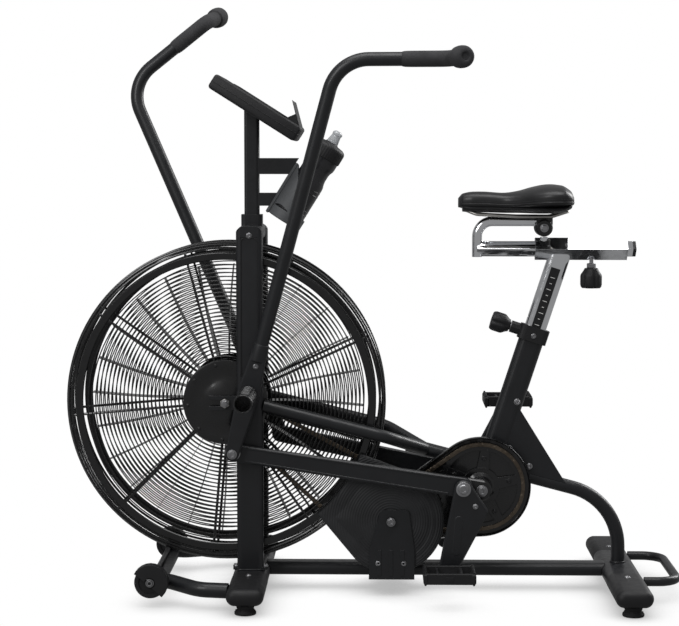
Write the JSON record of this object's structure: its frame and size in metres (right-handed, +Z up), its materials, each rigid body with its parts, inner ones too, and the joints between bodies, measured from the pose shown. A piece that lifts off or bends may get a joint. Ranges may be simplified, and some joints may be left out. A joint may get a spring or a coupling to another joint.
{
  "type": "air bike",
  "caption": "Fan exercise bike with a caged fan wheel, swinging handle levers linked to the cranks, sliding saddle, console and bottle holder.",
  "frame": {"origin": "on the floor under the middle of the bike, at the bottom centre of its bounding box", "axes": "+Z up, +X towards the rear where the rider sits, -Y the rider's left side, on which both chains run"},
  "size_m": [1.2785, 0.593, 1.2432],
  "materials": {
    "black_paint": "satin powder coat",
    "gloss_black": "gloss",
    "black_plastic": "moulded, fine grain",
    "cover_plastic": "ribbed, matte",
    "black_rubber": "matte",
    "chrome": "polished",
    "steel": "plain, oiled",
    "grip_foam": "closed-cell foam",
    "saddle_leather": "soft grain"
  },
  "bodies": {
    "frame": {"bottle_cage": "black_plastic", "bottom_bracket": "black_paint", "console": "black_plastic", "console_mast": "black_paint", "crank_chain": "steel", "crank_chain_guard": "gloss_black", "fan_axle": "steel", "fan_chain": "steel", "fan_chain_cover": "cover_plastic", "front_left_end_cap": "black_plastic", "front_left_foot": "black_rubber", "front_right_end_cap": "black_plastic", "front_right_foot": "black_rubber", "front_stabilizer": "black_paint", "left_fan_cage": "gloss_black", "left_foot_peg": "gloss_black", "left_jackshaft_bracket": "black_paint", "left_post": "black_paint", "left_side_tube": "black_paint", "left_wheel_hood": "black_plastic", "lower_rail": "black_paint", "main_tube": "black_paint", "mast_head": "black_paint", "rear_handle": "black_paint", "rear_left_end_cap": "black_plastic", "rear_left_foot": "black_rubber", "rear_right_end_cap": "black_plastic", "rear_right_foot": "black_rubber", "rear_stabilizer": "black_paint", "right_fan_cage": "gloss_black", "right_foot_peg": "gloss_black", "right_jackshaft_bracket": "black_paint", "right_post": "black_paint", "right_side_tube": "black_paint", "right_wheel_hood": "black_plastic", "seat_collar": "black_plastic", "seat_tube": "black_paint", "wheel_bracket": "black_paint"},
    "crank": {"crankset": "gloss_black", "left_pedal_arm": "black_paint", "right_pedal_arm": "black_paint"},
    "left_pedal_body": {"left_pedal": "black_plastic"},
    "right_pedal_body": {"right_pedal": "black_plastic"},
    "jackshaft_body": {"jackshaft": "steel"},
    "fan_body": {"fan": "gloss_black"},
    "left_wheel_body": {"left_wheel": "black_rubber"},
    "right_wheel_body": {"right_wheel": "black_rubber"},
    "left_lever_body": {"left_lever": "black_paint", "left_grip": "grip_foam"},
    "right_lever_body": {"right_lever": "black_paint", "right_grip": "grip_foam"},
    "left_rod_body": {"left_rod": "black_paint"},
    "right_rod_body": {"right_rod": "black_paint"},
    "seat_post_body": {"seat_post": "chrome"},
    "seat_slider_body": {"seat_slider": "chrome", "saddle_clamp": "gloss_black", "saddle": "saddle_leather"},
    "post_knob_body": {"post_knob": "black_plastic"},
    "slider_knob_body": {"slider_knob": "black_plastic"},
    "bottle_body": {"bottle": "black_plastic"}
  },
  "joints": [
    {"name": "crank_turn", "type": "hinge", "parent": "frame", "child": "crank", "pos_m": [0.226, 0, 0.223], "axis": [0, 1, 0], "continuous": true},
    {"name": "left_pedal_spin", "type": "hinge", "parent": "crank", "child": "left_pedal_body", "pos_m": [0.15523, -0.188, 0.06843], "axis": [0, 1, 0], "continuous": true},
    {"name": "right_pedal_spin", "type": "hinge", "parent": "crank", "child": "right_pedal_body", "pos_m": [0.29677, 0.188, 0.37757], "axis": [0, 1, 0], "continuous": true},
    {"name": "jackshaft_turn", "type": "hinge", "parent": "frame", "child": "jackshaft_body", "pos_m": [0.038, 0, 0.158], "axis": [0, 1, 0], "continuous": true},
    {"name": "fan_turn", "type": "hinge", "parent": "frame", "child": "fan_body", "pos_m": [-0.3065, 0, 0.403], "axis": [0, 1, 0], "continuous": true},
    {"name": "left_wheel_roll", "type": "hinge", "parent": "frame", "child": "left_wheel_body", "pos_m": [-0.451, -0.188, 0.051], "axis": [0, 1, 0], "continuous": true},
    {"name": "right_wheel_roll", "type": "hinge", "parent": "frame", "child": "right_wheel_body", "pos_m": [-0.451, 0.188, 0.051], "axis": [0, 1, 0], "continuous": true},
    {"name": "left_lever_swing", "type": "hinge", "parent": "frame", "child": "left_lever_body", "pos_m": [-0.254, -0.1335, 0.429], "axis": [0, 1, 0], "range_deg": [-39, 0]},
    {"name": "right_lever_swing", "type": "hinge", "parent": "frame", "child": "right_lever_body", "pos_m": [-0.254, 0.1335, 0.429], "axis": [0, 1, 0], "range_deg": [0, 39]},
    {"name": "left_rod_pivot", "type": "hinge", "parent": "left_lever_body", "child": "left_rod_body", "pos_m": [-0.28769, -0.111, 0.305], "axis": [0, 1, 0], "range_deg": [0, 39]},
    {"name": "right_rod_pivot", "type": "hinge", "parent": "right_lever_body", "child": "right_rod_body", "pos_m": [-0.20214, 0.111, 0.31143], "axis": [0, 1, 0], "range_deg": [-39, 0]},
    {"name": "seat_height", "type": "slide", "parent": "frame", "child": "seat_post_body", "axis": [0.309, 0, 0.9511], "range_m": [-0.09, 0.08]},
    {"name": "seat_fore_aft", "type": "slide", "parent": "seat_post_body", "child": "seat_slider_body", "axis": [1, 0, 0], "range_m": [-0.06, 0.05]},
    {"name": "post_knob_pull", "type": "slide", "parent": "frame", "child": "post_knob_body", "axis": [-0.9511, 0, 0.309], "range_m": [0, 0.01], "stiffness_N_per_m": 400, "springref_m": -0.004},
    {"name": "slider_knob_pull", "type": "slide", "parent": "seat_post_body", "child": "slider_knob_body", "axis": [0, 0, -1], "range_m": [0, 0.01], "stiffness_N_per_m": 600, "springref_m": -0.008},
    {"name": "bottle_lift", "type": "slide", "parent": "frame", "child": "bottle_body", "axis": [0.5293, 0, 0.8485], "range_m": [0, 0.2]}
  ],
  "couplings": [
    {"joint": "jackshaft_turn", "follows": "crank_turn", "ratio": 2.75},
    {"joint": "fan_turn", "follows": "crank_turn", "ratio": 7.8571},
    {"joint": "right_lever_swing", "follows": "left_lever_swing", "ratio": -1},
    {"joint": "left_rod_pivot", "follows": "left_lever_swing", "ratio": -1},
    {"joint": "right_rod_pivot", "follows": "left_lever_swing", "ratio": 1}
  ]
}
